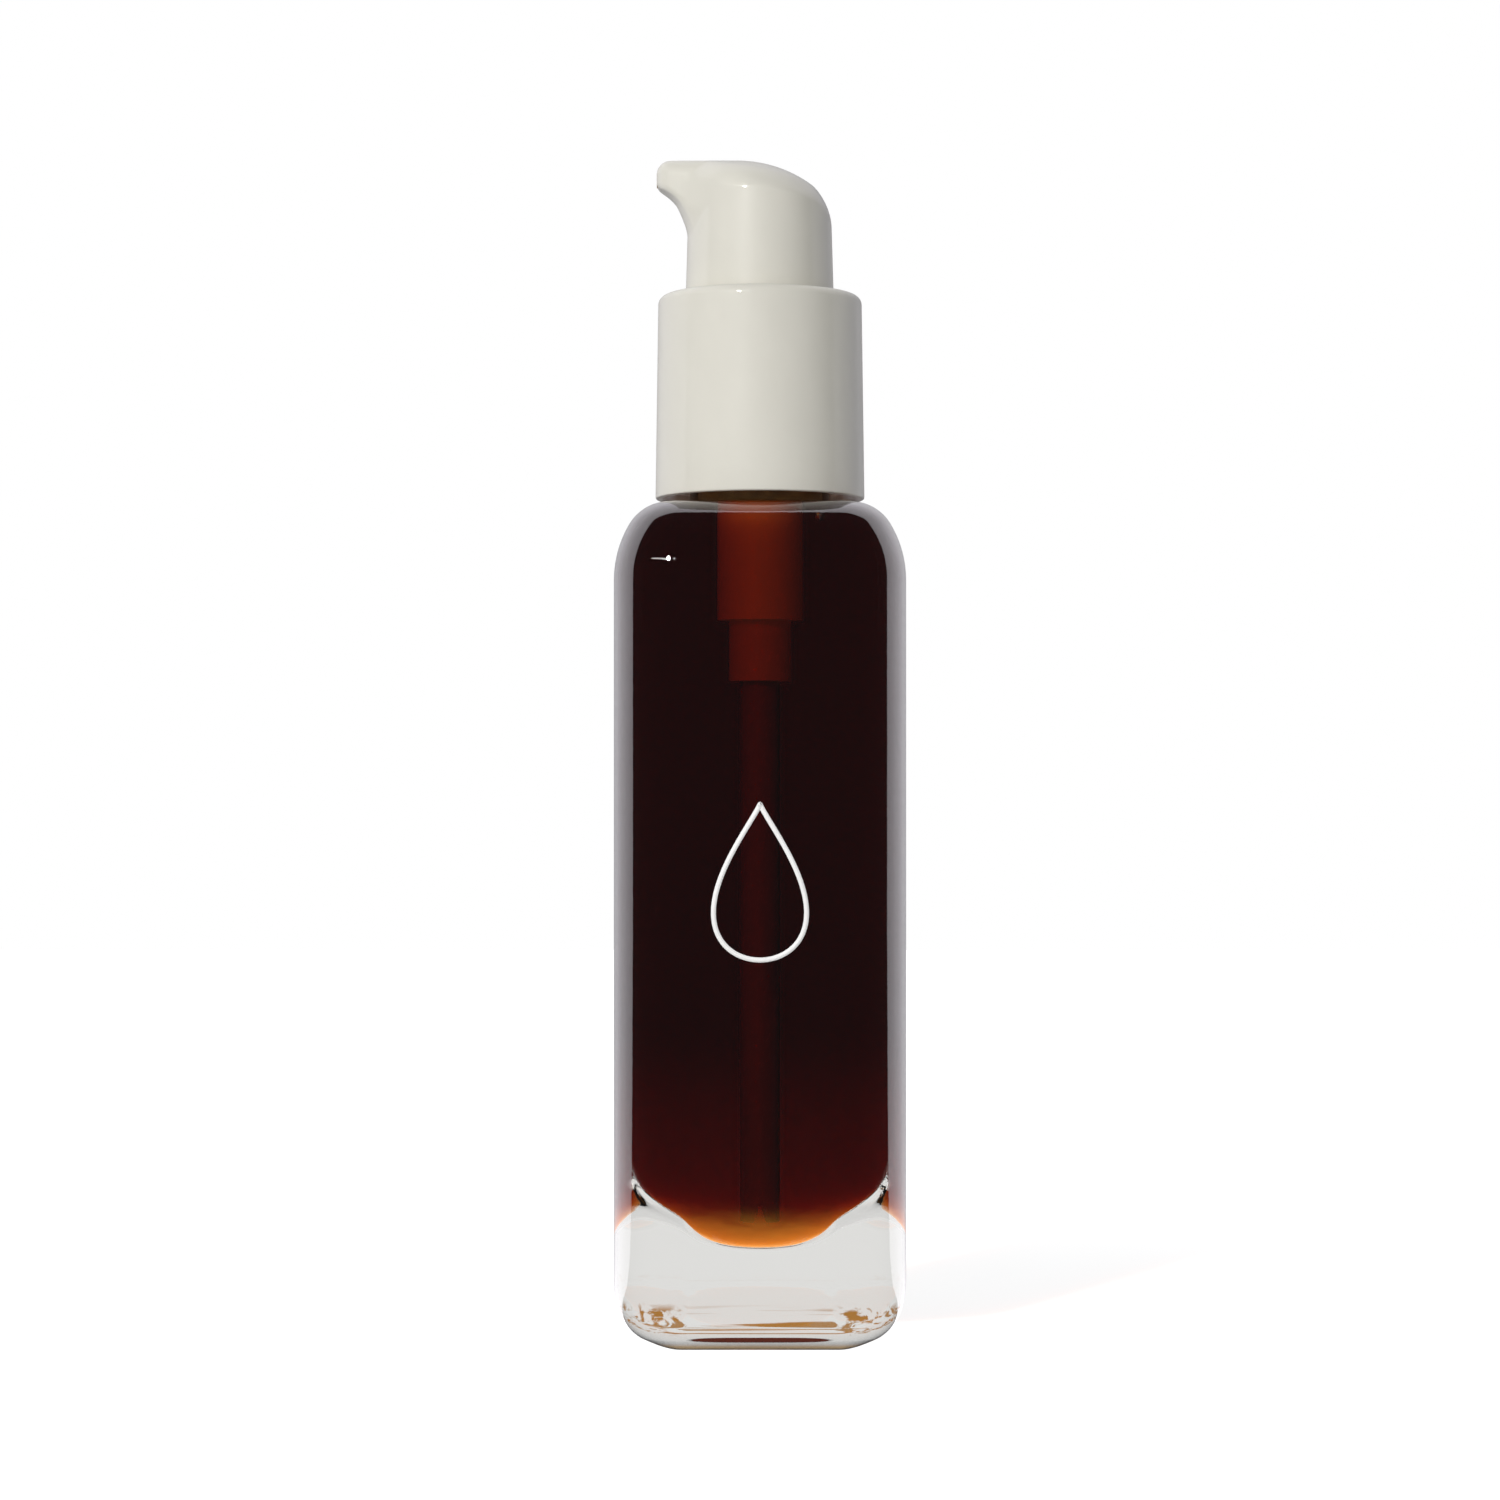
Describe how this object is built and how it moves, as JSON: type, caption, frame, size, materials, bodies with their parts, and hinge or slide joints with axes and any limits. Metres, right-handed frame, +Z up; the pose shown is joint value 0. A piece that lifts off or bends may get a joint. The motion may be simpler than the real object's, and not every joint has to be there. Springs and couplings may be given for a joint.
{
  "type": "pump oil bottle",
  "caption": "Heavy soft-square glass bottle of dark massage oil under a plain collar and a beaked press-down pump that doses it.",
  "frame": {"origin": "on the bottle's axis in the plane of its base", "axes": "+Z up along the bottle's axis, -Y out of the flat front, -X the way the nozzle points"},
  "size_m": [0.032, 0.032, 0.1314],
  "materials": {
    "glass": "clear, polished",
    "oil": "dark red-brown liquid",
    "shell_plastic": "glossy warm white",
    "closure_plastic": "satin white",
    "gasket_foam": "soft white",
    "engine_plastic": "natural, satin",
    "tube_plastic": "translucent natural",
    "piston_plastic": "soft natural",
    "insert_plastic": "beige, satin",
    "ball_steel": "polished steel",
    "spring_steel": "drawn stainless wire"
  },
  "bodies": {
    "bottle": {"glass_bottle": "glass", "oil_fill": "oil"},
    "seal": {"neck_gasket": "gasket_foam"},
    "pump": {"pump_housing": "engine_plastic", "housing_cap": "engine_plastic", "dip_tube": "tube_plastic", "return_spring": "spring_steel"},
    "closure": {"screw_closure": "closure_plastic", "collar_sheath": "shell_plastic"},
    "stem": {"pump_stem": "engine_plastic", "piston_rod": "engine_plastic"},
    "head": {"actuator": "shell_plastic", "nozzle_insert": "insert_plastic"},
    "piston": {"piston": "piston_plastic"},
    "ball": {"inlet_ball": "ball_steel"}
  },
  "joints": [
    {"name": "pump_lift_out", "type": "slide", "parent": "bottle", "child": "seal", "axis": [0, 0, 1], "range_m": [0, 0.1]},
    {"name": "thread_lift", "type": "slide", "parent": "seal", "child": "pump", "axis": [0, 0, 1], "range_m": [0, 0.00477]},
    {"name": "closure_turn", "type": "hinge", "parent": "pump", "child": "closure", "pos_m": [0, 0, 0.1], "axis": [0, 0, 1], "range_deg": [0, 540]},
    {"name": "press", "type": "slide", "parent": "pump", "child": "stem", "axis": [0, 0, -1], "range_m": [0, 0.0043], "stiffness_N_per_m": 1500, "springref_m": -0.004, "deforming": ["return_spring"]},
    {"name": "nozzle_swivel", "type": "hinge", "parent": "stem", "child": "head", "pos_m": [0, 0, 0.12], "axis": [0, 0, 1], "continuous": true},
    {"name": "piston_slide", "type": "slide", "parent": "pump", "child": "piston", "axis": [0, 0, -1], "range_m": [0, 0.0038]},
    {"name": "ball_lift", "type": "slide", "parent": "pump", "child": "ball", "axis": [0, 0, 1], "range_m": [0, 0.0008]}
  ],
  "couplings": [
    {"joint": "thread_lift", "follows": "closure_turn", "m_per_rad": 0.00050532},
    {"joint": "piston_slide", "follows": "press", "ratio": 0.8837}
  ]
}
